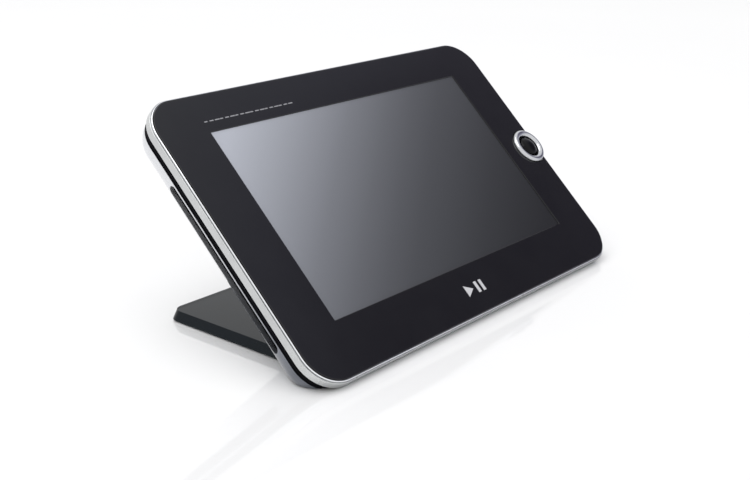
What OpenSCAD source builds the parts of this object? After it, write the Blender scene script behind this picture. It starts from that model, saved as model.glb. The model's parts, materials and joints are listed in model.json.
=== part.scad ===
// Portable slot-in disc player with a wide screen, a side-mounted control ring
// and a fold-out stand plate. Millimetres. The table is Z = 0, the screen faces -Y,
// X runs to the right. Most parts are drawn in the case's own frame (x right, y up
// along the panel, z out of the screen, origin at the screen's centre) and leaned
// back by "posed"; the stand is drawn in a level frame at its hinge by "at_hinge".

/* [Case] */
// Width of the black front panel
panel_w = 230; // [228:0.5:234]
// Height of the black front panel
panel_h = 143.6; // [142:0.2:146]
// Plan radius of the panel's corners
corner_r = 15.6; // [15.6:0.2:17]
// Depth from the panel's face to the flat back
body_d = 27; // [26.6:0.1:27]
// Radius that turns the cover's side wall into its bevel
shoulder_r = 12; // [12:0.1:12.4]
// Radius that turns the bevel into the flat back
heel_r = 8; // [7:0.2:8]
// Wall of the rear cover
wall = 2; // [1.8:0.1:2.1]
// Lean of the panel from lying flat, in degrees
tilt = 43.5; // [42:0.5:45]

/* [Screen] */
// Width of the picture area
screen_w = 177.1; // [174:0.1:178]
// Height of the picture area
screen_h = 99.6; // [97:0.1:101]

/* [Controls] */
// Outer radius of the control ring
ring_r = 10.2; // [9.8:0.1:10.6]
// Radius of the opening in the control ring
ring_bore = 6.6; // [6.4:0.1:6.9]
// Radius of the domed joystick knob
knob_r = 5.5; // [5.2:0.1:5.6]
// Height of the keys along the top edge
key_h = 3.2; // [2.8:0.1:3.3]

/* [Openings] */
// Length of the speaker slit in each side
slit_len = 85; // [80:1:85]
// Width of the speaker slits
slit_w = 5; // [3.6:0.2:5.2]
// Length of the disc slot
disc_slot_len = 124; // [123:0.5:125]
// Width of the disc slot
disc_slot_w = 3.6; // [3.2:0.1:3.8]
// Radius of the bore in each signal jack
jack_r = 1.8; // [1.75:0.01:1.85]
// Radius of the bore in the power jack
dc_r = 2.9; // [2.7:0.1:3]

/* [Stand] */
// Width of the stand plate at its outer face
stand_w = 199.6; // [196:0.2:200]
// Length from the hinge axis to the stand's free edge
stand_len = 76.4; // [74:0.2:76.6]
// Thickness of the stand plate
stand_t = 4.7; // [4.5:0.1:4.7]

/* [View] */
// Node to draw

/* [Hidden] */

$fn = 64;
gap = 0.05;                       // clearance between parts that only touch
slip = 0.15;                      // clearance round a moving key or slider
body_cy = -2.4;                   // panel centre below the screen's centre
panel_t = 1.6;
trim_w = 0.8;                     // chrome bead round the panel
band_out = 1.3;                   // satin band beyond the panel
ring_in = 1.1;                    // black ring and cover, inside the band
band_w = panel_w + 2 * band_out;
band_h = panel_h + 2 * band_out;
band_r = corner_r + band_out;
cov_w = band_w - 2 * ring_in;
cov_h = band_h - 2 * ring_in;
cov_r = band_r - ring_in;
cov_x = cov_w / 2;
cov_top = body_cy + cov_h / 2;
cov_front = -8.9;
bevel_turn = 42.3;                // how far the bevel leans in from the side wall
back_z = -body_d;

band_rear = -5.1;                 // rear face of the satin band
foot_h = 0.7;                     // stand's rubber feet
body_gap = 0.5;                   // trimmed underside above the table
edge_gap = 0.1;                   // band's lower edge above the table
low_y = body_cy - band_h / 2;
table_drop = edge_gap - low_y * sin(tilt) - band_rear * cos(tilt);
hinge_z = back_z + stand_t / 2;
hinge_u = -table_drop + foot_h + stand_t / 2;
hinge_y = (hinge_u - hinge_z * cos(tilt)) / sin(tilt);
recess_z = back_z + stand_t + 0.3;
recess_x = stand_w / 2 + 0.6;
recess_top = hinge_y + stand_len + 0.6;

nav_x = 108.2;
nav_y = -3;
ring_top = 1.9;
ring_low = -7.3;
nav_pivot = -3.4;                 // height of the joystick's tilting axes
centre_x = -(nav_x + ring_r - band_w / 2) / 2;
centre_y = -3.02;

slit_y = -7.25;
slit_z = -12.1;
key_z = -11.4;                    // centre height of the disc slot, keys and slider
key_x = [72, 81, 90];
menu_x = -93;
wheel_x = -80;
wheel_r = 7.5;
wheel_y = cov_top + 1.4 - wheel_r;
slider_y = 44;
slider_travel = 4;

screw_x = 97.3;
screw_y = [46, 2, -44];
screw_r = 1;
board_x = [66, 93.5];
board_z = -12;
jack_x = [75, 86];
jack_y = [36, 46.5];

disc_r = 60;
drive_x = 64;
drive_y = [-56.9, 64.8];
drive_z = [-19.3, -9.6];
disc_y = drive_y[1] - disc_r - 0.6;
traverse_z = -18.3;
guide_x = 17;
guide_y = [-54.4, -8.6];
guide_z = -15.4;
screw_line_x = 24;
screw_pitch = 3;                  // sled travel for one turn of the lead screw
lens_y = disc_y - 24;
roller_y = 59.5;
roller_z = -14.6;
idler_y = roller_y - 4.5;
pinion_y = idler_y - 3.9;
gear_at = 56.2;
gear_m = 0.3;                     // tooth size of the loading gears
knuckle_x = 77;                   // centre of each hinge knuckle
knuckle_w = 14;
pin_r = 1.2;

black = [0.05, 0.05, 0.06];
dark = [0.16, 0.17, 0.19];
silver = [0.72, 0.73, 0.75];
steel = [0.6, 0.61, 0.62];
green = [0.08, 0.32, 0.18];
white = [0.85, 0.85, 0.83];

// Height of the face under a case screw's head.
function screw_seat(y) = (y > recess_top ? back_z : recess_z) + 1.5;

// ---- frames ----
module posed() {
    translate([centre_x, centre_y, table_drop]) rotate([tilt, 0, 0]) children();
}

module at_hinge() {
    posed() translate([0, hinge_y, hinge_z]) rotate([-tilt, 0, 0]) children();
}

// ---- helpers ----
function span(middle, half) = [middle - half, middle + half];

module box(x, y, z) {
    translate([x[0], y[0], z[0]]) cube([x[1] - x[0], y[1] - y[0], z[1] - z[0]]);
}

module rod_x(r, x, y, z) {
    translate([x[0], y, z]) rotate([0, 90, 0]) cylinder(r = r, h = x[1] - x[0]);
}

module rod_y(r, x, y, z) {
    translate([x, y[1], z]) rotate([90, 0, 0]) cylinder(r = r, h = y[1] - y[0]);
}

module rod_z(r, x, y, z) {
    translate([x, y, z[0]]) cylinder(r = r, h = z[1] - z[0]);
}

module rr(w, h, r) {
    square([w - 2 * r, h], center = true);
    square([w, h - 2 * r], center = true);
    for (sx = [-1, 1], sy = [-1, 1])
        translate([sx * (w / 2 - r), sy * (h / 2 - r)]) circle(r);
}

module slab(w, h, r, z) {
    translate([0, body_cy, z[0]]) linear_extrude(z[1] - z[0]) rr(w, h, r);
}

// Centre of corner i of a w x h rectangle with corners of radius r.
function corner(i, w, h, r) =
    [(i == 0 || i == 3 ? 1 : -1) * (w / 2 - r), (i < 2 ? 1 : -1) * (h / 2 - r), 0];

// Sweeps a profile round a rounded rectangle: x = 0 is the outer edge, y is height.
module swept(w, h, r) {
    translate([0, body_cy, 0]) {
        for (i = [0:3])
            translate(corner(i, w, h, r)) rotate([0, 0, 90 * i])
                rotate_extrude(angle = 90) translate([r, 0]) children();
        for (s = [0, 180]) {
            rotate([0, 0, s]) translate([w / 2, h / 2 - r, 0])
                rotate([90, 0, 0]) linear_extrude(h - 2 * r) children();
            rotate([0, 0, s + 90]) translate([h / 2, w / 2 - r, 0])
                rotate([90, 0, 0]) linear_extrude(w - 2 * r) children();
        }
    }
}

// Right half of the rear shell's cross-section, "inset" inside its outer surface: side
// wall, shoulder, bevel, heel and flat back, filled up to the height "front".
module shell_half(w, inset, front) {
    a = [w / 2 - shoulder_r, cov_front];
    b_z = back_z + heel_r;
    run = (heel_r - shoulder_r + (cov_front - b_z) * sin(bevel_turn)) / cos(bevel_turn);
    b = [a[0] - run, b_z];
    n = [cos(bevel_turn), -sin(bevel_turn)];
    intersection() {
        translate([0, back_z]) square([w / 2, front - back_z]);
        union() {
            translate(a) circle(shoulder_r - inset);
            translate(b) circle(heel_r - inset);
            polygon([a, a + n * (shoulder_r - inset), b + n * (heel_r - inset), b]);
            polygon([[0, b[1]], b, a, [a[0], front], [0, front]]);
            translate([0, back_z + inset]) square([b[0], heel_r - inset]);
            translate([a[0] - 1, a[1]]) square([shoulder_r - inset + 1, front - a[1] + 0.001]);
        }
    }
}

module shell_strip(w, len, inset, front) {
    translate([0, len / 2, 0]) rotate([90, 0, 0]) linear_extrude(len) {
        shell_half(w, inset, front);
        mirror([1, 0]) shell_half(w, inset, front);
    }
}

// The rear shell as a solid: two crossing strips and four turned corners.
module shell(inset, front) {
    translate([0, body_cy, 0]) {
        shell_strip(cov_w, cov_h - 2 * cov_r, inset, front);
        rotate([0, 0, 90]) shell_strip(cov_h, cov_w - 2 * cov_r, inset, front);
        for (i = [0:3])
            translate(corner(i, cov_w, cov_h, cov_r)) rotate([0, 0, 90 * i])
                rotate_extrude(angle = 90) intersection() {
                    translate([0, back_z]) square([cov_r, front - back_z]);
                    translate([cov_r - cov_w / 2, 0]) shell_half(cov_w, inset, front);
                }
    }
}

// Everything outside the shell's upper bevel, "inset" inside its outer surface.
module beyond_top_bevel(inset) {
    translate([0, cov_top - shoulder_r, cov_front]) rotate([-bevel_turn, 0, 0])
        translate([-200, shoulder_r - inset, -60]) cube([400, 50, 120]);
}

// Everything lower than "lift" above the table, seen from the case's frame.
module below(lift) {
    rotate([-tilt, 0, 0]) translate([-200, -200, lift - table_drop - 60]) cube([400, 400, 60]);
}

module nav_hole(r) {
    rod_z(r, nav_x, nav_y, [-12, 3]);
}

module gear(teeth, t, bore) {
    rp = teeth * gear_m / 2;
    difference() {
        union() {
            cylinder(r = rp - 0.36, h = t);
            for (i = [0:teeth - 1])
                rotate([0, 0, 360 * i / teeth]) linear_extrude(t)
                    polygon([[rp - 0.5, -0.26], [rp, -0.2], [rp + 0.27, -0.1],
                             [rp + 0.27, 0.1], [rp, 0.2], [rp - 0.5, 0.26]]);
        }
        translate([0, 0, -1]) cylinder(r = bore, h = t + 2);
    }
}

// A gear whose axis runs along x, starting at x.
module gear_x(teeth, x, y, z, t, bore) {
    translate([x, y, z]) rotate([0, 90, 0]) gear(teeth, t, bore);
}

// ---- front ----
module front_panel() {
    color(black) posed() difference() {
        slab(panel_w, panel_h, corner_r, [-panel_t, 0]);
        box([-screen_w / 2, screen_w / 2], [-screen_h / 2, screen_h / 2], [-3, 1]);
        nav_hole(ring_r + 0.3);
    }
}

module front_trim() {
    color(silver) posed() difference() {
        swept(panel_w + 2 * trim_w, panel_h + 2 * trim_w, corner_r + trim_w)
            polygon([[-trim_w + gap, -0.35], [-0.45, -0.33], [-0.15, -0.45], [0, -0.75],
                     [-0.05, -0.95], [-0.3, -1.1], [-0.3, -1.6], [-trim_w + gap, -1.6]]);
        nav_hole(ring_r + 0.3);
    }
}

module silver_band() {
    color(silver) posed() difference() {
        swept(band_w, band_h, band_r)
            polygon([[-0.1, -1.3], [0, -1.4], [0, band_rear + 0.2], [-0.2, band_rear],
                     [-3, band_rear], [-3, -1.68], [-0.6, -1.68], [-0.6, -1.3]]);
        nav_hole(ring_r + 0.3);
    }
}

module mid_frame() {
    color(dark) posed() difference() {
        union() {
            difference() {
                union() {
                    swept(cov_w, cov_h, cov_r)
                        polygon([[0, -5.2], [0, -6.1], [-0.35, -6.3], [-0.35, -6.7], [0, -6.9], [0, -7.7],
                                 [-0.35, -7.9], [-0.35, -8.3], [0, -8.5], [0, -8.8], [-3, -8.8], [-3, -5.2]]);
                    slab(cov_w - 2, cov_h - 2, cov_r - 1, [-8.4, -7.4]);
                }
                nav_hole(ring_r + 0.3);
            }
            for (s = [-1, 1], y = screw_y)
                rod_z(3, s * screw_x, y, [-11, -8.4]);
            rod_z(ring_r - 0.4, nav_x, nav_y, [-8.4, -7.4]);
        }
        below(body_gap);
        for (s = [-1, 1], y = screw_y)
            rod_z(screw_r + gap, s * screw_x, y, [-12, -7]);
        for (s = [-1, 1], y = [-30, 20])
            translate([s * 45 - 20, y - 12, -9]) cube([40, 24, 2]);
    }
}

module screen_film() {
    color(dark) posed()
        box(span(0, screen_w / 2 - gap), span(0, screen_h / 2 - gap), [-1.1, -0.45]);
}

module lcd_module() {
    color(white) posed() box([-91.8, 91.8], [-52.8, 52.8], [-4.2, -1.75]);
}

module lcd_frame() {
    color(steel) posed() difference() {
        box([-93, 93], [-54, 54], [-6.9, -1.8]);
        box([-92, 92], [-53, 53], [-6.5, 0]);
        for (x = [-60, -20, 20, 60])
            box([x - 14, x + 14], [-40, 40], [-8, -6]);
    }
}

module backlight_board() {
    color(green) posed() {
        box([-60, 60], [-69, -57], [-4.4, -3.2]);
        for (x = [-42, -18, 8, 34])
            box([x, x + 9], [-66, -60], [-3.2, -2.1]);
    }
}

// Triangle and two bars, set just proud of the panel.
module play_badge() {
    color(silver) posed() translate([0, -62.2, 0.01]) linear_extrude(0.15) {
        polygon([[-7, -3], [-7, 3], [-1.6, 0]]);
        translate([0.8, -2.9]) square([1.9, 5.8]);
        translate([4.6, -2.9]) square([1.9, 5.8]);
    }
}

module caption_dashes() {
    color(silver) posed() for (i = [0:17])
        box([-88.6 + 3.1 * i, -86.8 + 3.1 * i + 0.5 * (i % 3)], [55, 55.55], [0.01, 0.1]);
}

// ---- joystick ----
module nav_ring() {
    color(silver) posed() translate([nav_x, nav_y, 0]) rotate_extrude() {
        polygon([[ring_bore, ring_low], [ring_r, ring_low], [ring_r, 0.6], [ring_r - 0.35, 1.3],
                 [ring_r - 1.1, ring_top - 0.1], [ring_r - 1.9, ring_top],
                 [ring_bore + 0.6, ring_top - 0.5], [ring_bore, ring_top - 1.2]]);
    }
}

module nav_switch() {
    color(black) posed() difference() {
        union() {
            rod_z(ring_bore - 0.1, nav_x, nav_y, [ring_low, -5.2]);
            for (s = [-1, 1])
                box(span(nav_x + s * 5.4, 0.5), span(nav_y, 1), [-5.3, nav_pivot + 0.9]);
        }
        rod_z(3.4, nav_x, nav_y, [-6.2, -4]);
        rod_x(0.45, [nav_x - 7, nav_x + 7], nav_y, nav_pivot);
    }
}

// The gimbal turns about x in the switch's two posts, and the stick about y in the gimbal.
module nav_gimbal() {
    color(steel) posed() difference() {
        union() {
            rod_z(4.6, nav_x, nav_y, [nav_pivot - 0.7, nav_pivot + 0.7]);
            rod_x(0.4, [nav_x - 5.8, nav_x + 5.8], nav_y, nav_pivot);
        }
        rod_z(3.5, nav_x, nav_y, [nav_pivot - 2, nav_pivot + 2]);
        rod_y(0.45, nav_x, [nav_y - 6, nav_y + 6], nav_pivot);
    }
}

module nav_stick() {
    color(steel) posed() {
        rod_z(1.5, nav_x, nav_y, [nav_pivot - 1.8, nav_pivot + 3.6]);
        rod_y(0.4, nav_x, [nav_y - 4.4, nav_y + 4.4], nav_pivot);
    }
}

module nav_knob() {
    color(black) posed() translate([nav_x, nav_y, 0]) difference() {
        rotate_extrude() {
            polygon([[0, -0.9], [knob_r - 0.3, -0.9], [knob_r, -0.6], [knob_r, 0.3],
                     [knob_r - 0.4, 0.9], [knob_r - 1.3, 1.5], [knob_r - 2.6, 2],
                     [knob_r - 4, 2.3], [0, 2.4]]);
        }
        rod_z(1.55, 0, 0, [-2, 0.9]);
    }
}

// ---- stand ----
module stand_blank(inset, z) {
    r = 5;
    w = stand_w / 2 - inset;
    hull() {
        for (s = [-1, 1]) {
            translate([s * (w - r), stand_len - inset - r, z[0]]) cylinder(r = r, h = 0.1, $fn = 48);
            translate([s * (w - 1.4 - r), stand_len - 1.4 - inset - r, z[1] - 0.1])
                cylinder(r = r, h = 0.1, $fn = 48);
            translate([s * w - (s > 0 ? 1 : 0), inset, z[0]]) cube([1, 1, 0.1]);
            translate([s * (w - 1.4) - (s > 0 ? 1 : 0), inset, z[1] - 0.1]) cube([1, 1, 0.1]);
        }
    }
}

module knuckle_notch() {
    for (s = [-1, 1]) {
        x = span(s * knuckle_x, knuckle_w / 2 + 0.3);
        rod_x(stand_t / 2 + 0.5, x, 0, 0);
        box(x, [0, stand_t / 2 + 0.5], [-3, 3]);
    }
}

module stand_cover() {
    color(dark) at_hinge() difference() {
        union() {
            difference() {
                stand_blank(0, [-stand_t / 2, stand_t / 2]);
                box([-stand_w / 2 + 2.6, stand_w / 2 - 2.6], [5, stand_len - 3], [-stand_t / 2 + 1.5, 3]);
            }
            rod_x(stand_t / 2, [-stand_w / 2 + 1.4, stand_w / 2 - 1.4], 0, 0);
            for (x = [-66, -33, 0, 33, 66])
                box([x - 0.8, x + 0.8], [5, stand_len - 3], [-1, 1]);
        }
        knuckle_notch();
        for (s = [-1, 1])
            rod_x(pin_r + 0.02, [s * knuckle_x - 13, s * knuckle_x + 13], 0, 0);
    }
}

module stand_liner() {
    color(dark) at_hinge()
        box(span(0, stand_w / 2 - 2.7), [5.1, stand_len - 3.1], [stand_t / 2 - 1.3, stand_t / 2 - gap]);
}

module stand_feet() {
    color(black) at_hinge() for (s = [-1, 1], y = [16, stand_len - 14])
        translate([s * 84, y, -stand_t / 2 - foot_h]) linear_extrude(foot_h) rr(16, 6, 2.9);
}

module hinge_pins() {
    color(steel) at_hinge() for (s = [-1, 1])
        rod_x(pin_r, [s * knuckle_x - 12.8, s * knuckle_x + 12.8], 0, 0);
}

module hinge_brackets() {
    color(steel) posed() for (s = [-1, 1]) {
        x = span(s * knuckle_x, knuckle_w / 2);
        difference() {
            union() {
                rod_x(stand_t / 2 - 0.1, x, hinge_y, hinge_z);
                box(x, [hinge_y - 1.6, hinge_y + 1.6], [hinge_z, recess_z + wall + 1.2]);
                box([x[0] - 1, x[1] + 1], [hinge_y - 3.4, hinge_y + 10],
                    [recess_z + wall + gap, recess_z + wall + 1.2]);
            }
            rod_x(pin_r + 0.05, [x[0] - 1, x[1] + 1], hinge_y, hinge_z);
        }
    }
}

module body_feet() {
    color(black) posed() rotate([-tilt, 0, 0]) for (s = [-1, 1])
        translate([s * 84, -38, -table_drop]) linear_extrude(body_gap - 0.02) rr(18, 5, 2.4);
}

// ---- rear cover ----
module recess(grow) {
    box([-recess_x - grow, recess_x + grow], [-90, recess_top + grow], [back_z - 10, recess_z + grow]);
}

module side_slits(len, w, x) {
    for (s = [-1, 1])
        translate([s * (x[0] + x[1]) / 2, slit_y, slit_z]) rotate([0, 90, 0])
            linear_extrude(x[1] - x[0], center = true) rr(w, len, w / 2 - 0.01);
}

module top_openings() {
    translate([0, cov_top, key_z]) rotate([90, 0, 0])
        linear_extrude(12, center = true) rr(disc_slot_len, disc_slot_w, disc_slot_w / 2 - 0.01);
    for (x = concat(key_x, [menu_x]))
        box(span(x, 3.5 + slip), [cov_top - 5, cov_top + 3], span(key_z, key_h / 2 + slip));
    box([wheel_x - 7.2, wheel_x + 7.2], [cov_top - 5, cov_top + 3], [key_z - 1.65, key_z + 1.65]);
}

module rear_cover() {
    color(silver) posed() difference() {
        shell(0, cov_front);
        difference() {
            shell(wall, cov_front + 1);
            recess(wall);
            below(body_gap + wall);
            for (s = [-1, 1], y = screw_y)
                rod_z(3, s * screw_x, y, [back_z, -11.1]);
        }
        recess(0);
        below(body_gap);
        side_slits(slit_len, slit_w, [cov_x - 5, cov_x + 5]);
        top_openings();
        box([cov_x - 4, cov_x + 3], [slider_y - 2.5 - slider_travel - slip, slider_y + 2.5 + slip],
            span(key_z, 1.35 + slip));
        box([68, 93], [29.8, 52.6], [back_z - 1, back_z + 3]);
        for (s = [-1, 1], y = screw_y) {
            rod_z(screw_r + 0.3, s * screw_x, y, [back_z - 1, -9]);
            rod_z(2.7, s * screw_x, y, [back_z - 1, screw_seat(y)]);
        }
        for (s = [-1, 1])
            box(span(s * knuckle_x, knuckle_w / 2 + 0.3), span(hinge_y, 2), span(recess_z + 1, wall));
        for (i = [0:5])
            box([-94, -70], [32 + 3.6 * i, 33.6 + 3.6 * i], [back_z - 1, back_z + 3]);
    }
}

module slot_felts() {
    color(black) posed() difference() {
        box([-65, 65], [drive_y[1] + 0.2, drive_y[1] + 1.4], span(key_z + 0.3, 2.25));
        box(span(0, disc_slot_len / 2), [60, 75], span(key_z, 0.9));
    }
}

module case_screws() {
    color(steel) posed() for (s = [-1, 1], y = screw_y) {
        z = screw_seat(y);
        rod_z(screw_r, s * screw_x, y, [z - 0.1, -7.8]);
        difference() {
            rod_z(2.3, s * screw_x, y, [z - 1.2, z]);
            box([s * screw_x - 1.5, s * screw_x + 1.5], [y - 0.25, y + 0.25], [z - 2, z - 0.7]);
            box([s * screw_x - 0.25, s * screw_x + 0.25], [y - 1.5, y + 1.5], [z - 2, z - 0.7]);
        }
    }
}

// ---- keys, wheel and slider ----
module key(x) {
    color(silver) posed() {
        box(span(x, 3.5), [cov_top - wall - 1.8, cov_top + 0.8], span(key_z, key_h / 2));
        box(span(x, 4.2), [cov_top - wall - 2.8, cov_top - wall - 1.7], span(key_z, key_h / 2 + 0.7));
        box(span(x, 1), [63.85, cov_top - wall - 2.7], span(key_z, 1));
    }
}

module play_key() { key(key_x[0]); }

module stop_key() { key(key_x[1]); }

module eject_key() { key(key_x[2]); }

module menu_key() { key(menu_x); }

module key_boards() {
    color(green) posed() {
        box([67.5, 94.5], [60.2, 61.3], [key_z - 3.6, key_z + 2.8]);
        box([menu_x - 3.8, menu_x + 3.8], [60.2, 61.3], [key_z - 3.6, key_z + 2.8]);
        for (x = concat(key_x, [menu_x])) {
            box([x - 2, x + 2], [61.2, 62.6], [key_z - 2, key_z + 2]);
            rod_y(1, x, [62.5, 63.2], key_z);
        }
    }
}

module volume_wheel() {
    color(dark) posed() translate([wheel_x, wheel_y, key_z - 1.4]) difference() {
        cylinder(r = wheel_r, h = 2.8);
        translate([0, 0, -1]) cylinder(r = 1.56, h = 5);
        for (i = [0:35])
            rotate([0, 0, 10 * i]) translate([wheel_r, 0, -1]) cylinder(r = 0.35, h = 5);
    }
}

module volume_pot() {
    color(steel) posed() {
        rod_z(1.5, wheel_x, wheel_y, [key_z - 1.9, key_z + 2.2]);
        box(span(wheel_x, 5.5), [wheel_y - 6.7, wheel_y + 0.3], [key_z - 5, key_z - 1.7]);
    }
}

module power_slider() {
    color(dark) posed() {
        box([cov_x - wall - 2, cov_x + 0.8], span(slider_y, 2.5), span(key_z, 1.35));
        box([cov_x - wall - 2.9, cov_x - wall - 1.9], span(slider_y, 3.4), span(key_z, 2.1));
        box([cov_x - wall - 5, cov_x - wall - 2.8], span(slider_y, 0.8), span(key_z, 0.8));
        for (i = [-1:1])
            box([cov_x + 0.7, cov_x + 1.05], span(slider_y + 1.4 * i, 0.3), span(key_z, 1.35));
    }
}

module power_switch() {
    color(steel) posed() difference() {
        box([103.2, cov_x - wall - 3.1], [slider_y - 8, slider_y + 5], span(key_z, 2.4));
        box([107, 114], [slider_y - 6.6, slider_y + 3.6], span(key_z, 1));
    }
}

// ---- jacks and boards ----
module jack_panel() {
    color(black) posed() difference() {
        box([68.1, 92.9], [29.9, 52.5], [back_z + 0.2, back_z + 1.6]);
        for (x = jack_x, y = jack_y)
            rod_z(3.2, x, y, [back_z - 1, back_z + 3]);
    }
}

module jack_body(x, y, r) {
    difference() {
        union() {
            box([x - 4.4, x + 4.4], [y - 4.4, y + 4.4], [back_z + 1.7, board_z - gap]);
            rod_z(3.1, x, y, [back_z + 0.3, back_z + 1.8]);
        }
        rod_z(r, x, y, [back_z - 1, board_z - 2]);
    }
}

module dc_jack() {
    color(black) posed() difference() {
        jack_body(jack_x[0], jack_y[1], dc_r);
        rod_z(0.66, jack_x[0], jack_y[1], [back_z, board_z - 0.9]);
    }
}

module dc_pin() {
    color(steel) posed() rod_z(0.65, jack_x[0], jack_y[1], [back_z + 3, board_z - 1]);
}

module signal_jacks() {
    color(dark) posed() {
        jack_body(jack_x[1], jack_y[1], jack_r);
        jack_body(jack_x[0], jack_y[0], jack_r);
        jack_body(jack_x[1], jack_y[0], jack_r);
    }
}

module main_board() {
    color(green) posed() difference() {
        box(board_x, [-48, 56], [board_z, board_z + 1.4]);
        for (y = [-44, 52])
            rod_z(1.2, 68.5, y, [board_z - 1, board_z + 3]);
    }
}

module board_chips() {
    color(black) posed() {
        box([70, 86], [4, 20], [board_z - 1.6, board_z - gap]);
        box([88, 92], [6, 18], [board_z - 1.2, board_z - gap]);
        box([69, 75], [-10, -2], [board_z - 1.4, board_z - gap]);
        for (y = [-10, -4])
            rod_z(2.4, 84, y, [board_z - 5, board_z - gap]);
    }
}

module shield_can() {
    color(steel) posed() difference() {
        box([69, 91], [-42, -16], [board_z - 3.4, board_z - gap]);
        box([69.4, 90.6], [-41.6, -16.4], [board_z - 3, board_z + 1]);
    }
}

module battery_cells() {
    color([0.2, 0.3, 0.55]) posed() for (y = [[-38, 6], [8, 52]])
        difference() {
            box([-92, -67.6], y, [-18.2, -9.6]);
            box([-88, -72], [y[0] + 4, y[1] - 4], [-18.3, -18]);
        }
}

module battery_tray() {
    color(dark) posed() difference() {
        box([-93.2, -66.4], [-39, 53.2], [-19.2, -9.4]);
        box([-92.2, -67.4], [-38.2, 52.4], [-18.3, 0]);
        for (y = [-27, -4, 19, 42])
            box([-86, -74], [y - 8, y + 8], [-20, -18]);
    }
}

// ---- speakers ----
module speaker_grilles() {
    color(black) posed() for (s = [-1, 1])
        difference() {
            translate([s * (cov_x - wall - 3.1), slit_y, slit_z]) rotate([0, 90, 0])
                linear_extrude(0.8, center = true) rr(slit_w + 1.6, slit_len + 2, (slit_w + 1.6) / 2 - 0.01);
            for (i = [-13:13])
                box(span(s * cov_x, 6), span(slit_y + 3 * i, 0.8), span(slit_z, 1.9));
        }
}

module speaker_frames() {
    color(black) posed() for (s = [-1, 1]) {
        x = s > 0 ? [101.2, 109.2] : [-109.2, -101.2];
        difference() {
            box(x, span(slit_y, 28), [-16.4, -9.2]);
            translate([s * 1.2, 0, 0]) box(x, span(slit_y, 26.6), [-15.6, -10]);
        }
    }
}

module speaker_cones() {
    color(dark) posed() for (s = [-1, 1])
        difference() {
            translate([s * 106.6, slit_y, -12.8]) rotate([0, 90, 0])
                linear_extrude(1.2, center = true) rr(5.4, 53, 2.69);
            translate([s * 107.4, slit_y, -12.8]) rotate([0, 90, 0])
                linear_extrude(1.2, center = true) rr(3.4, 50, 1.69);
        }
}

// ---- disc drive ----
module drive_chassis() {
    color(steel) posed() difference() {
        union() {
            difference() {
                box([-drive_x, drive_x], drive_y, [drive_z[0], drive_z[1] - 0.65]);
                box(span(0, drive_x - 0.8), [drive_y[0] + 0.8, 80], [drive_z[0] + 0.8, 0]);
            }
            for (x = [-54, 54])
                box(span(x, 0.6), [pinion_y - 3, roller_y + 2], [drive_z[0] + 0.7, -12.9]);
            box([38, 39.2], span(pinion_y, 3), [drive_z[0] + 0.7, -12.9]);
        }
        beyond_top_bevel(wall + 0.35);
        below(body_gap + wall + 0.35);
        rod_x(1.05, [-58, 60], roller_y, roller_z);
        rod_x(0.7, [50, 62], idler_y, roller_z);
        rod_x(0.9, [50, 60], pinion_y, roller_z);
        box([-guide_x - 6, guide_x + 12], [guide_y[0] + 4, guide_y[1]], [drive_z[0] - 1, traverse_z - 0.1]);
    }
}

module drive_lid() {
    color(steel) posed() difference() {
        box([-drive_x, drive_x], drive_y, [drive_z[1] - 0.6, drive_z[1]]);
        rod_z(9, 0, disc_y, [-12, -8]);
    }
}

module drive_bushes() {
    color(black) posed() for (x = [-56, 56], y = [-44, 52])
        difference() {
            rod_z(3.5, x, y, [drive_z[1] + gap, -8.45]);
            rod_z(1.4, x, y, [-11, -8]);
        }
}

module traverse_plate() {
    color(steel) posed() difference() {
        union() {
            box([-32, 32], [guide_y[0] - 0.6, 26], [traverse_z, traverse_z + 0.8]);
            for (s = [-1, 1], y = guide_y)
                box(span(s * guide_x, 2), span(y, 0.6), [traverse_z + 0.7, guide_z + 2]);
            box(span(screw_line_x, 1.8), span(guide_y[0], 0.6), [traverse_z + 0.7, guide_z + 2]);
        }
        box([-guide_x + 3, guide_x - 3], [guide_y[0] + 2, guide_y[1] - 2], [-20, -17]);
        for (s = [-1, 1])
            rod_y(1.2 + 0.01, s * guide_x, [guide_y[0] - 2, guide_y[1] + 2], guide_z);
        rod_y(0.75, screw_line_x, [guide_y[0] - 2, guide_y[0] + 2], guide_z);
    }
}

module guide_rods() {
    color(steel) posed() for (s = [-1, 1])
        rod_y(1.2, s * guide_x, [guide_y[0] - 0.6, guide_y[1] + 0.6], guide_z);
}

module spindle_motor() {
    color(steel) posed() difference() {
        union() {
            rod_z(11.5, 0, disc_y, [traverse_z + 0.85, traverse_z + 2.8]);
            rod_z(2.6, 0, disc_y, [traverse_z + 2.7, traverse_z + 3.3]);
        }
        rod_z(1.03, 0, disc_y, [-18, -10]);
    }
}

module turntable() {
    color(black) posed() translate([0, disc_y, 0]) {
        rod_z(1, 0, 0, [-17.3, -14.6]);
        rotate_extrude()
            polygon([[0, -14.9], [13, -14.9], [13, -14.2], [7.3, -14.2],
                     [7.3, -13.5], [6.4, -12.9], [0, -12.9]]);
    }
}

module sled_motor() {
    color(steel) posed() difference() {
        rod_y(2, screw_line_x, [-7.4, 3], guide_z);
        rod_y(0.55, screw_line_x, [-8, -3], guide_z);
    }
}

module lead_screw() {
    color(steel) posed() {
        rod_y(1.1, screw_line_x, [guide_y[0] + 1, -8.6], guide_z);
        rod_y(0.5, screw_line_x, [-8.7, -4], guide_z);
        rod_y(0.7, screw_line_x, [guide_y[0] - 0.5, guide_y[0] + 1.1], guide_z);
        for (i = [0:12])
            rod_y(1.3, screw_line_x, span(guide_y[0] + 3 + screw_pitch * i, 0.6), guide_z);
    }
}

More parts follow.
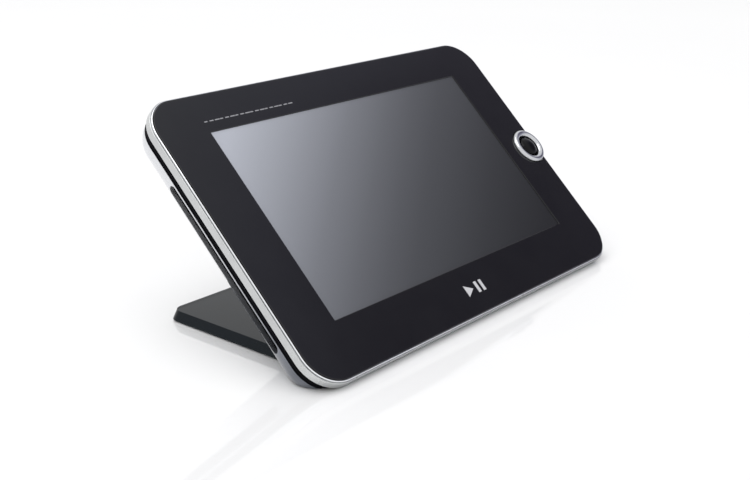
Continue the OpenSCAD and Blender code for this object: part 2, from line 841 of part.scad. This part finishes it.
module pickup_sled() {
    color(dark) posed() difference() {
        union() {
            box(span(0, guide_x + 2.4), span(lens_y, 8.5), [guide_z - 1.9, guide_z + 1.3]);
            box([guide_x + 2, screw_line_x - 1.6], [lens_y - 3, lens_y + 3], [guide_z - 0.6, guide_z + 0.6]);
        }
        for (s = [-1, 1])
            rod_y(1.25, s * guide_x, [lens_y - 10, lens_y + 10], guide_z);
        rod_z(5.2, 0, lens_y, [guide_z - 3, guide_z + 3]);
    }
}

module pickup_lens() {
    color([0.3, 0.4, 0.6]) posed() translate([0, lens_y, guide_z]) {
        difference() {
            rod_z(5, 0, 0, [-1, 1.2]);
            rod_z(2.5, 0, 0, [0.2, 2]);
        }
        rotate_extrude() polygon([[0, 0.1], [2.3, 0.1], [2.3, 0.8], [1.4, 1.15], [0, 1.3]]);
    }
}

module load_roller() {
    color(black) posed() {
        translate([0, roller_y, roller_z]) rotate([0, 90, 0])
            for (s = [0, 180]) rotate([s, 0, 0])
                rotate_extrude() polygon([[0, -0.1], [1.9, -0.1], [2.1, 26], [2.5, 50], [1.4, 51], [0, 51]]);
        rod_x(1, [-56, 59.4], roller_y, roller_z);
        gear_x(14, gear_at, roller_y, roller_z, 2.4, 0.9);
    }
}

module idler_gear() {
    color(white) posed() {
        gear_x(16, gear_at, idler_y, roller_z, 2.4, 0.5);
        rod_x(0.62, [53.5, gear_at + 2.3], idler_y, roller_z);
    }
}

module load_motor() {
    color(steel) posed() difference() {
        rod_x(2.4, [39.6, 53.2], pinion_y, roller_z);
        rod_x(0.55, [49, 55], pinion_y, roller_z);
    }
}

module motor_pinion() {
    color(white) posed() {
        gear_x(10, gear_at, pinion_y, roller_z, 2.4, 0.4);
        rod_x(0.5, [49.5, gear_at + 2.3], pinion_y, roller_z);
    }
}

front_panel();
front_trim();
silver_band();
mid_frame();
rear_cover();
screen_film();
lcd_module();
lcd_frame();
backlight_board();
play_badge();
caption_dashes();
nav_ring();
nav_switch();
nav_gimbal();
nav_stick();
nav_knob();
stand_cover();
stand_liner();
stand_feet();
hinge_pins();
hinge_brackets();
body_feet();
play_key();
stop_key();
eject_key();
menu_key();
key_boards();
volume_wheel();
volume_pot();
power_slider();
power_switch();
jack_panel();
dc_jack();
dc_pin();
signal_jacks();
main_board();
board_chips();
shield_can();
battery_cells();
battery_tray();
speaker_grilles();
speaker_frames();
speaker_cones();
slot_felts();
case_screws();
drive_chassis();
drive_lid();
drive_bushes();
traverse_plate();
guide_rods();
spindle_motor();
turntable();
sled_motor();
lead_screw();
pickup_sled();
pickup_lens();
load_roller();
idler_gear();
load_motor();
motor_pinion();
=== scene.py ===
"""Looks of the portable disc player: surfaces, fine edges, studio floor, light and camera."""
import json
import math

import bmesh
import bpy
from mathutils import Matrix, Vector


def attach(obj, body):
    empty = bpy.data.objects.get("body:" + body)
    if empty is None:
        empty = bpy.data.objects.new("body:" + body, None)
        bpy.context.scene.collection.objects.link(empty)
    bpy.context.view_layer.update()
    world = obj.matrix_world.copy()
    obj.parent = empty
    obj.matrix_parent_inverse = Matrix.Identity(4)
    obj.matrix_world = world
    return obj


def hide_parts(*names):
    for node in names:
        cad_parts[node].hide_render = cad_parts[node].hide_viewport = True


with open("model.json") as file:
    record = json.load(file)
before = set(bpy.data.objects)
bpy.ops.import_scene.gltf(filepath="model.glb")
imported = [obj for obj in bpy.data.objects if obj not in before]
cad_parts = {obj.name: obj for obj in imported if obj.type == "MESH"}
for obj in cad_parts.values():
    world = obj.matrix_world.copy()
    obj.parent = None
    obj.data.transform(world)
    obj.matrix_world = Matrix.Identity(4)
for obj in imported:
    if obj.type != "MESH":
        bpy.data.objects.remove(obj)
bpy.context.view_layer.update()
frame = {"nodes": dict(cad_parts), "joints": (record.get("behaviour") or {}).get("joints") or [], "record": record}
joints = {j["name"]: j for j in frame["joints"]}

# ---- the case's own frame: x right, y up along the panel, z out of the screen, in mm ----
MM = 0.001
NAV_X, NAV_Y, NAV_PIVOT = 108.2, -3.0, -3.4
UP = Vector(joints["nav_tilt_y"]["axis"]).normalized()
OUT = Vector(joints["volume_turn"]["axis"]).normalized()
RIGHT = UP.cross(OUT)
CENTRE = Vector(joints["nav_tilt_x"]["pos_m"]) - (RIGHT * NAV_X + UP * NAV_Y + OUT * NAV_PIVOT) * MM
CASE = Matrix.Translation(CENTRE) @ Matrix((RIGHT, UP, OUT)).transposed().to_4x4() @ Matrix.Scale(MM, 4)
NAV = CASE @ Matrix.Translation((NAV_X, NAV_Y, 0))

BODY_CY = -2.4          # the panel's centre, below the screen's
PANEL_W, PANEL_H, PANEL_R = 230.0, 143.6, 15.6
SCREEN_W, SCREEN_H = 177.1, 99.6
RING_R, RING_BORE, RING_TOP, RING_LOW = 10.2, 6.6, 1.9, -7.3
HOLE_R = RING_R + 0.3   # opening in the panel, bead and band round the ring
KNOB_R = 5.5
PANEL_BACK = -1.6
LIP, LIP_DEPTH = 0.25, -0.25   # bevel round the screen's window


# ---- materials ----
def node(tree, kind, **values):
    """A shader node with its named inputs or properties set."""
    n = tree.nodes.new(kind)
    for key, value in values.items():
        if key in n.inputs:
            n.inputs[key].default_value = value
        else:
            setattr(n, key, value)
    return n


def new_material(name, base, metallic, rough, **sockets):
    """A Principled material and its tree, ready for procedural detail."""
    m = bpy.data.materials.new(name)
    m.use_nodes = True
    t = m.node_tree
    t.nodes.clear()
    out = t.nodes.new("ShaderNodeOutputMaterial")
    p = t.nodes.new("ShaderNodeBsdfPrincipled")
    t.links.new(p.outputs[0], out.inputs[0])
    p.inputs["Base Color"].default_value = (*base, 1.0)
    p.inputs["Metallic"].default_value = metallic
    p.inputs["Roughness"].default_value = rough
    for key, value in sockets.items():
        p.inputs[key.replace("_", " ")].default_value = value
    return m, t, p


def object_coords(t):
    """Where a point is on its object, so that a pattern moves with it."""
    return t.nodes.new("ShaderNodeTexCoord").outputs["Object"]


def ramp(t, source, stops):
    """Colour ramp over source with (position, colour or grey) stops."""
    r = t.nodes.new("ShaderNodeValToRGB")
    cr = r.color_ramp
    while len(cr.elements) > 1:
        cr.elements.remove(cr.elements[-1])
    for i, (pos, value) in enumerate(stops):
        e = cr.elements[0] if i == 0 else cr.elements.new(pos)
        e.position = pos
        e.color = (*value, 1.0) if isinstance(value, tuple) else (value, value, value, 1.0)
    t.links.new(source, r.inputs["Fac"])
    return r.outputs["Color"]


def wear(t, p, base, tint, scale, rough, grain, bump):
    """Slow colour drift, a mottled roughness and a fine moulded grain."""
    co = object_coords(t)
    slow = node(t, "ShaderNodeTexNoise", Scale=scale, Detail=4.0, Roughness=0.6)
    t.links.new(co, slow.inputs["Vector"])
    colour = ramp(t, slow.outputs["Fac"], [(0.3, base), (0.7, tint)])
    t.links.new(colour, p.inputs["Base Color"])
    t.links.new(ramp(t, slow.outputs["Fac"], [(0.35, rough[0]), (0.65, rough[1])]), p.inputs["Roughness"])
    fine = node(t, "ShaderNodeTexNoise", Scale=grain, Detail=3.0)
    t.links.new(co, fine.inputs["Vector"])
    b = node(t, "ShaderNodeBump", Strength=bump, Distance=0.0002)
    t.links.new(fine.outputs["Fac"], b.inputs["Height"])
    t.links.new(b.outputs["Normal"], p.inputs["Normal"])


def plastic(name, base, tint, rough=(0.3, 0.4), metallic=0.0, scale=60.0, grain=900.0, bump=0.02, **sockets):
    """Moulded or painted surface with slow drift and fine grain."""
    m, t, p = new_material(name, base, metallic, rough[0], **sockets)
    wear(t, p, base, tint, scale, rough, grain, bump)
    return m


def brushed(name, base, tint, rough=(0.25, 0.4)):
    """Metal with a fine grain along x."""
    m, t, p = new_material(name, base, 1.0, rough[0])
    stretched = node(t, "ShaderNodeMapping", Scale=(1.0, 60.0, 60.0))
    t.links.new(object_coords(t), stretched.inputs["Vector"])
    grain = node(t, "ShaderNodeTexNoise", Scale=40.0, Detail=5.0)
    t.links.new(stretched.outputs[0], grain.inputs["Vector"])
    t.links.new(ramp(t, grain.outputs["Fac"], [(0.3, base), (0.7, tint)]), p.inputs["Base Color"])
    t.links.new(ramp(t, grain.outputs["Fac"], [(0.3, rough[0]), (0.7, rough[1])]), p.inputs["Roughness"])
    return m


# How far the screen's painted reflection fades across the screen, and the cover's painted shade and highlight run
# up the case, in mm.
SCREEN_REFLECTION_RUN, COVER_PAINTED_LIGHT_RUN = 176.8, 150.0
# Painted light on the cover: painted shade (slate) at the foot, painted highlight (bright silver) towards the top.
COVER_PAINTED_LIGHT_STOPS = [(0.08, (0.13, 0.14, 0.165)), (0.2, (0.22, 0.23, 0.26)), (0.4, (0.5, 0.51, 0.54)),
               (0.75, (0.7, 0.71, 0.73))]
# Painted reflection on the screen: grey at the upper left falling to near black at the lower right.
SCREEN_REFLECTION_STOPS = [(at, (grey, 1.04 * grey, 1.16 * grey)) for at, grey in (
    (0.0, 0.42), (0.1, 0.33), (0.21, 0.24), (0.31, 0.166), (0.42, 0.11), (0.5, 0.08), (0.58, 0.059),
    (0.69, 0.043), (0.79, 0.029), (0.9, 0.019), (1.0, 0.012))]


def painted_light_fade(t, direction, run, stops):
    """Colour ramp over run mm along a direction, its middle at the screen's centre."""
    d = node(t, "ShaderNodeVectorMath", operation="SUBTRACT")
    d.inputs[1].default_value = CENTRE
    t.links.new(object_coords(t), d.inputs[0])
    dot = node(t, "ShaderNodeVectorMath", operation="DOT_PRODUCT")
    dot.inputs[1].default_value = direction.normalized() / (run * MM)
    t.links.new(d.outputs[0], dot.inputs[0])
    shift = node(t, "ShaderNodeMath", operation="ADD")
    shift.inputs[1].default_value = 0.5
    t.links.new(dot.outputs["Value"], shift.inputs[0])
    return ramp(t, shift.outputs[0], stops)


def screen_material_with_painted_reflection():
    """Anti-glare film over the display, its grey a painted reflection of the studio light: grey from the upper
    left falling to near black at the lower right.
    """
    m, t, p = new_material("screen_film", (0.1, 0.1, 0.11), 0.0, 0.32, Specular_IOR_Level=0.4)
    # Painted reflection across the screen.
    t.links.new(painted_light_fade(t, RIGHT * 0.66 - UP * 0.75, SCREEN_REFLECTION_RUN, SCREEN_REFLECTION_STOPS), p.inputs["Base Color"])
    sparkle = node(t, "ShaderNodeTexNoise", Scale=6000.0, Detail=1.0)
    t.links.new(object_coords(t), sparkle.inputs["Vector"])
    b = node(t, "ShaderNodeBump", Strength=0.04, Distance=0.00002)
    t.links.new(sparkle.outputs["Fac"], b.inputs["Height"])
    t.links.new(b.outputs["Normal"], p.inputs["Normal"])
    return m


def cover_material_with_painted_light():
    """Metallic paint with painted light: painted shade makes it slate at the foot of the case, and a painted
    highlight makes it bright silver at its top.
    """
    m = plastic("cover_silver", (0.45, 0.46, 0.5), (0.41, 0.42, 0.46), (0.14, 0.2), 0.7,
                grain=5000.0, bump=0.012, Coat_Weight=0.5, Coat_Roughness=0.08)
    t = m.node_tree
    p = next(n for n in t.nodes if n.type == "BSDF_PRINCIPLED")
    # Painted shade at the foot and painted highlight at the top, along the case's height.
    t.links.new(painted_light_fade(t, UP, COVER_PAINTED_LIGHT_RUN, COVER_PAINTED_LIGHT_STOPS), p.inputs["Base Color"])
    return m


MATERIALS = {
    "piano_black": plastic("piano_black", (0.004, 0.004, 0.005), (0.006, 0.006, 0.007), (0.03, 0.05),
                           grain=300.0, bump=0.002),
    "bright_trim": plastic("bright_trim", (0.86, 0.87, 0.89), (0.8, 0.81, 0.83), (0.08, 0.14), 1.0,
                           bump=0.002),
    "satin_silver": plastic("satin_silver", (0.6, 0.61, 0.61), (0.55, 0.56, 0.56), (0.26, 0.34), 0.9,
                            grain=4000.0, bump=0.015),
    "ring_silver": plastic("ring_silver", (0.62, 0.63, 0.65), (0.56, 0.57, 0.59), (0.12, 0.2), 1.0,
                           bump=0.003),
    "knob_black": plastic("knob_black", (0.0015, 0.0015, 0.002), (0.003, 0.003, 0.004), (0.04, 0.08),
                          bump=0.002, Specular_IOR_Level=0.14),
    "ring_black": plastic("ring_black", (0.003, 0.003, 0.004), (0.005, 0.005, 0.007), (0.15, 0.25),
                          bump=0.004, Specular_IOR_Level=0.03),
    "deep_black": plastic("deep_black", (0.0015, 0.0015, 0.0015), (0.003, 0.003, 0.003), (0.6, 0.8),
                          bump=0.05, Specular_IOR_Level=0.0),
    "cover_silver": cover_material_with_painted_light(),
    "screen": screen_material_with_painted_reflection(),
    "inner_white": plastic("inner_white", (0.7, 0.7, 0.68), (0.62, 0.62, 0.6), (0.5, 0.6)),
    "sheet_steel": brushed("sheet_steel", (0.55, 0.56, 0.57), (0.45, 0.46, 0.47)),
    "circuit_board": plastic("circuit_board", (0.02, 0.12, 0.06), (0.03, 0.17, 0.08), (0.3, 0.45),
                             scale=300.0),
    "print_grey": plastic("print_grey", (0.3, 0.3, 0.32), (0.26, 0.26, 0.28), (0.4, 0.5), bump=0.01),
    "print_light": plastic("print_light", (0.6, 0.6, 0.62), (0.54, 0.54, 0.56), (0.35, 0.45), bump=0.01),
    "inner_black": plastic("inner_black", (0.012, 0.012, 0.013), (0.02, 0.02, 0.021), (0.45, 0.6)),
    "stand_dark": plastic("stand_dark", (0.003, 0.004, 0.006), (0.004, 0.006, 0.009), (0.14, 0.2),
                          grain=1500.0, bump=0.02, Specular_IOR_Level=0.16,
                          Specular_Tint=(0.8, 0.92, 1.0, 1.0)),
    "soft_rubber": plastic("soft_rubber", (0.02, 0.02, 0.02), (0.03, 0.03, 0.03), (0.7, 0.85), bump=0.1),
    "satin_key": plastic("satin_key", (0.3, 0.31, 0.33), (0.26, 0.27, 0.29), (0.25, 0.35), 0.7, bump=0.01),
    "cell_wrap": plastic("cell_wrap", (0.03, 0.08, 0.25), (0.04, 0.1, 0.3), (0.2, 0.3)),
    "slot_felt": plastic("slot_felt", (0.008, 0.008, 0.008), (0.016, 0.016, 0.016), (0.9, 1.0), bump=0.4,
                         Sheen_Weight=0.4),
    "bright_steel": brushed("bright_steel", (0.75, 0.76, 0.77), (0.65, 0.66, 0.67), (0.12, 0.2)),
    "lens_clear": plastic("lens_clear", (0.3, 0.4, 0.6), (0.25, 0.35, 0.55), (0.05, 0.1), bump=0.0),
}

slots = {s["node"]: s["material_slot"] for s in frame["record"]["subparts"]}
for name, obj in frame["nodes"].items():
    obj.data.materials.clear()
    obj.data.materials.append(MATERIALS[slots[name]])

# ---- pieces built in mesh code ----
ARC_STEPS = 16
LATHE_STEPS = 96
SHARP_ANGLE = math.radians(35.0)


def outline(w, h, r, cy=BODY_CY):
    """Rounded rectangle, anticlockwise from the right side, as (x, y) points."""
    points = []
    for k, (sx, sy) in enumerate(((1, 1), (-1, 1), (-1, -1), (1, -1))):
        for i in range(ARC_STEPS + 1):
            a = math.radians(90 * (k + i / ARC_STEPS))
            points.append((sx * (w / 2 - r) + r * math.cos(a), cy + sy * (h / 2 - r) + r * math.sin(a)))
    return points


def at_height(points, z):
    """The points lifted to the height z."""
    return [(x, y, z) for x, y in points]


def loft(rings):
    """Closed frame skinned from equal rings of points, the last joined to the first."""
    bm = bmesh.new()
    loops = [[bm.verts.new(CASE @ Vector(p)) for p in ring] for ring in rings]
    n = len(rings[0])
    for a, b in zip(loops, loops[1:] + loops[:1]):
        for i in range(n):
            bm.faces.new((a[i], a[(i + 1) % n], b[(i + 1) % n], b[i]))
    bmesh.ops.recalc_face_normals(bm, faces=bm.faces)
    return bm


def lathe(profile):
    """Turns (radius, z) points about the joystick's axis. A radius of 0 closes the end."""
    bm = bmesh.new()
    loops = []
    for r, z in profile:
        if r == 0:
            loops.append([bm.verts.new(NAV @ Vector((0, 0, z)))] * LATHE_STEPS)
        else:
            loops.append([bm.verts.new(NAV @ Vector((r * math.cos(a), r * math.sin(a), z)))
                          for a in (math.tau * i / LATHE_STEPS for i in range(LATHE_STEPS))])
    for a, b in zip(loops, loops[1:]):
        for i in range(LATHE_STEPS):
            corners = []
            for v in (a[i], a[(i + 1) % LATHE_STEPS], b[(i + 1) % LATHE_STEPS], b[i]):
                if v not in corners:
                    corners.append(v)
            bm.faces.new(corners)
    bmesh.ops.recalc_face_normals(bm, faces=bm.faces)
    return bm


def rounded(points, radius, steps=5, closed=True):
    """The polygon with each corner turned into an arc-like curve of about that radius."""
    out = []
    n = len(points)
    for i, p in enumerate(points):
        if not closed and i in (0, n - 1):
            out.append(tuple(p))
            continue
        p = Vector(p)
        a, b = Vector(points[i - 1]), Vector(points[(i + 1) % n])
        reach = min(radius, (a - p).length * 0.45, (b - p).length * 0.45)
        start, end = p + (a - p).normalized() * reach, p + (b - p).normalized() * reach
        for k in range(steps + 1):
            t = k / steps
            out.append(tuple(start * (1 - t) ** 2 + p * 2 * t * (1 - t) + end * t ** 2))
    return out


def mesh_object(name, bm):
    """An object in the scene from a bmesh, which is freed."""
    mesh = bpy.data.meshes.new(name)
    bm.to_mesh(mesh)
    bm.free()
    obj = bpy.data.objects.new(name, mesh)
    bpy.context.scene.collection.objects.link(obj)
    return obj


def cut(obj, cutter_bm):
    """Cuts the cutter's volume out of obj."""
    cutter = mesh_object("cutter", cutter_bm)
    mod = obj.modifiers.new("cut", "BOOLEAN")
    mod.object = cutter
    mod.solver = "EXACT"
    shaped = bpy.data.meshes.new_from_object(obj.evaluated_get(bpy.context.evaluated_depsgraph_get()))
    obj.modifiers.clear()
    obj.data = shaped
    bpy.data.objects.remove(cutter)


def piece(name, bm, slot, body, stands_for, hole=None):
    """A finished piece: smooth shaded except at sharp edges, coloured, and riding on its body."""
    obj = mesh_object(name, bm)
    if hole is not None:
        cut(obj, hole)
    obj.data.materials.clear()
    obj.data.materials.append(MATERIALS[slot])
    obj.data.shade_smooth()
    obj.data.set_sharp_from_angle(angle=SHARP_ANGLE)
    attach(obj, body)
    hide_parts(*stands_for)


def nav_hole():
    """The round opening that the control ring sits in."""
    return lathe([(0, -12), (HOLE_R, -12), (HOLE_R, 3), (0, 3)])


def swept(section):
    """Rings for a section of (offset beyond the panel, z) points carried round the panel."""
    return [at_height(outline(PANEL_W + 2 * d, PANEL_H + 2 * d, PANEL_R + d), z) for d, z in section]


panel_rings = swept(rounded([(0, PANEL_BACK), (0, -0.01), (-0.55, 0)], 0.3, closed=False))
window = outline(SCREEN_W, SCREEN_H, 0.4, 0.0)
lip = outline(SCREEN_W + 2 * LIP, SCREEN_H + 2 * LIP, 0.6, 0.0)
panel_rings += [at_height(lip, 0), at_height(window, LIP_DEPTH), at_height(window, PANEL_BACK)]
piece("panel_gloss", loft(panel_rings), "piano_black", "case", ["front_panel"], hole=nav_hole())

bead = rounded([(0.3, PANEL_BACK), (0.3, -0.42), (0.45, -0.34), (0.68, -0.46), (0.8, -0.72), (0.74, -0.98),
                (0.5, -1.1), (0.5, PANEL_BACK)], 0.15)
piece("bright_bead", loft(swept(bead)), "bright_trim", "case", ["front_trim"], hole=nav_hole())

band = rounded([(1.18, -1.3), (1.3, -1.42), (1.3, -4.9), (1.12, -5.1), (-1.7, -5.1), (-1.7, -1.68),
                (0.72, -1.68), (0.72, -1.3)], 0.15)
piece("satin_band", loft(swept(band)), "satin_silver", "case", ["silver_band"], hole=nav_hole())

ring_section = rounded([
    (RING_BORE, RING_LOW), (RING_R, RING_LOW), (RING_R, 0.6), (RING_R - 0.35, 1.3),
    (RING_R - 1.1, RING_TOP - 0.1), (RING_R - 1.9, RING_TOP),
    (RING_BORE + 0.6, RING_TOP - 0.5), (RING_BORE, RING_TOP - 1.2)], 0.5)
piece("control_ring", lathe(ring_section + ring_section[:1]), "ring_silver", "case", ["nav_ring"])

knob_section = rounded([
    (0, -0.9), (KNOB_R - 0.3, -0.9), (KNOB_R, -0.6), (KNOB_R, 0.3), (KNOB_R - 0.4, 0.9),
    (KNOB_R - 1.3, 1.5), (KNOB_R - 2.6, 2.0), (KNOB_R - 4, 2.3), (0, 2.4)], 0.6, closed=False)
piece("control_knob", lathe(knob_section), "knob_black", "knob", ["nav_knob"])

# ---- floor, light and camera ----
bm = bmesh.new()
bmesh.ops.create_grid(bm, x_segments=40, y_segments=40, size=4.0)
floor_mesh = bpy.data.meshes.new("floor")
bm.to_mesh(floor_mesh)
bm.free()
floor = bpy.data.objects.new("floor", floor_mesh)
bpy.context.scene.collection.objects.link(floor)
FLOOR_WHITE, FLOOR_SHADE = (0.845, 0.845, 0.848), (0.835, 0.835, 0.84)
floor_mat, floor_tree, floor_shader = new_material("floor_white", FLOOR_WHITE, 0.0, 0.05,
                                                   Specular_IOR_Level=0.8)
wear(floor_tree, floor_shader, FLOOR_WHITE, FLOOR_SHADE, 3.0, (0.045, 0.06), 200.0, 0.0)
floor_mesh.materials.append(floor_mat)

light = bpy.data.lights.new("overhead", "AREA")
light.shape = "SQUARE"
light.size = 1.6
light.energy = 12.0
lamp = bpy.data.objects.new("overhead", light)
lamp.location = (-0.5, 0.2, 1.6)
lamp.rotation_euler = (-lamp.location).to_track_quat("-Z", "Y").to_euler()
bpy.context.scene.collection.objects.link(lamp)

# A white studio with a dim side to the right, which keeps the black panel dark.
world = bpy.data.worlds.new("studio")
bpy.context.scene.world = world
world.use_nodes = True
sky = world.node_tree
background = sky.nodes["Background"]
toward = node(sky, "ShaderNodeVectorMath", operation="DOT_PRODUCT")
toward.inputs[1].default_value = (0.858, -0.312, 0.407)
sky.links.new(sky.nodes.new("ShaderNodeTexCoord").outputs["Generated"], toward.inputs[0])
walls = ramp(sky, toward.outputs["Value"], [(0.76, (1.0, 1.0, 1.0)), (0.866, (0.74, 0.75, 0.78)),
                                            (0.906, (0.54, 0.55, 0.63)), (0.94, (0.38, 0.38, 0.47)),
                                            (0.966, (0.22, 0.21, 0.27)), (1.0, (0.14, 0.13, 0.175))])
sky.links.new(walls, background.inputs["Color"])
background.inputs["Strength"].default_value = 1.03

# A 57 mm lens to the left of the case and a little above it.
CAMERA_PLACE = CENTRE + Vector((-434.17, -342.36, 156.06)) * MM
CAMERA_FORWARD = Vector((0.7312, 0.6035, -0.3182)).normalized()
CAMERA_UP = Vector((0.2376, 0.212, 0.948))
right = CAMERA_FORWARD.cross(CAMERA_UP).normalized()
up = right.cross(CAMERA_FORWARD)
cam_data = bpy.data.cameras.new("camera")
cam_data.lens = 57.4
cam_data.sensor_width = 36.0
cam_data.clip_start = 0.01
camera = bpy.data.objects.new("camera", cam_data)
turn = Matrix((right, up, -CAMERA_FORWARD)).transposed().to_4x4()
camera.matrix_world = Matrix.Translation(CAMERA_PLACE) @ turn
bpy.context.scene.collection.objects.link(camera)
bpy.context.scene.camera = camera
bpy.context.scene.view_settings.view_transform = "Standard"
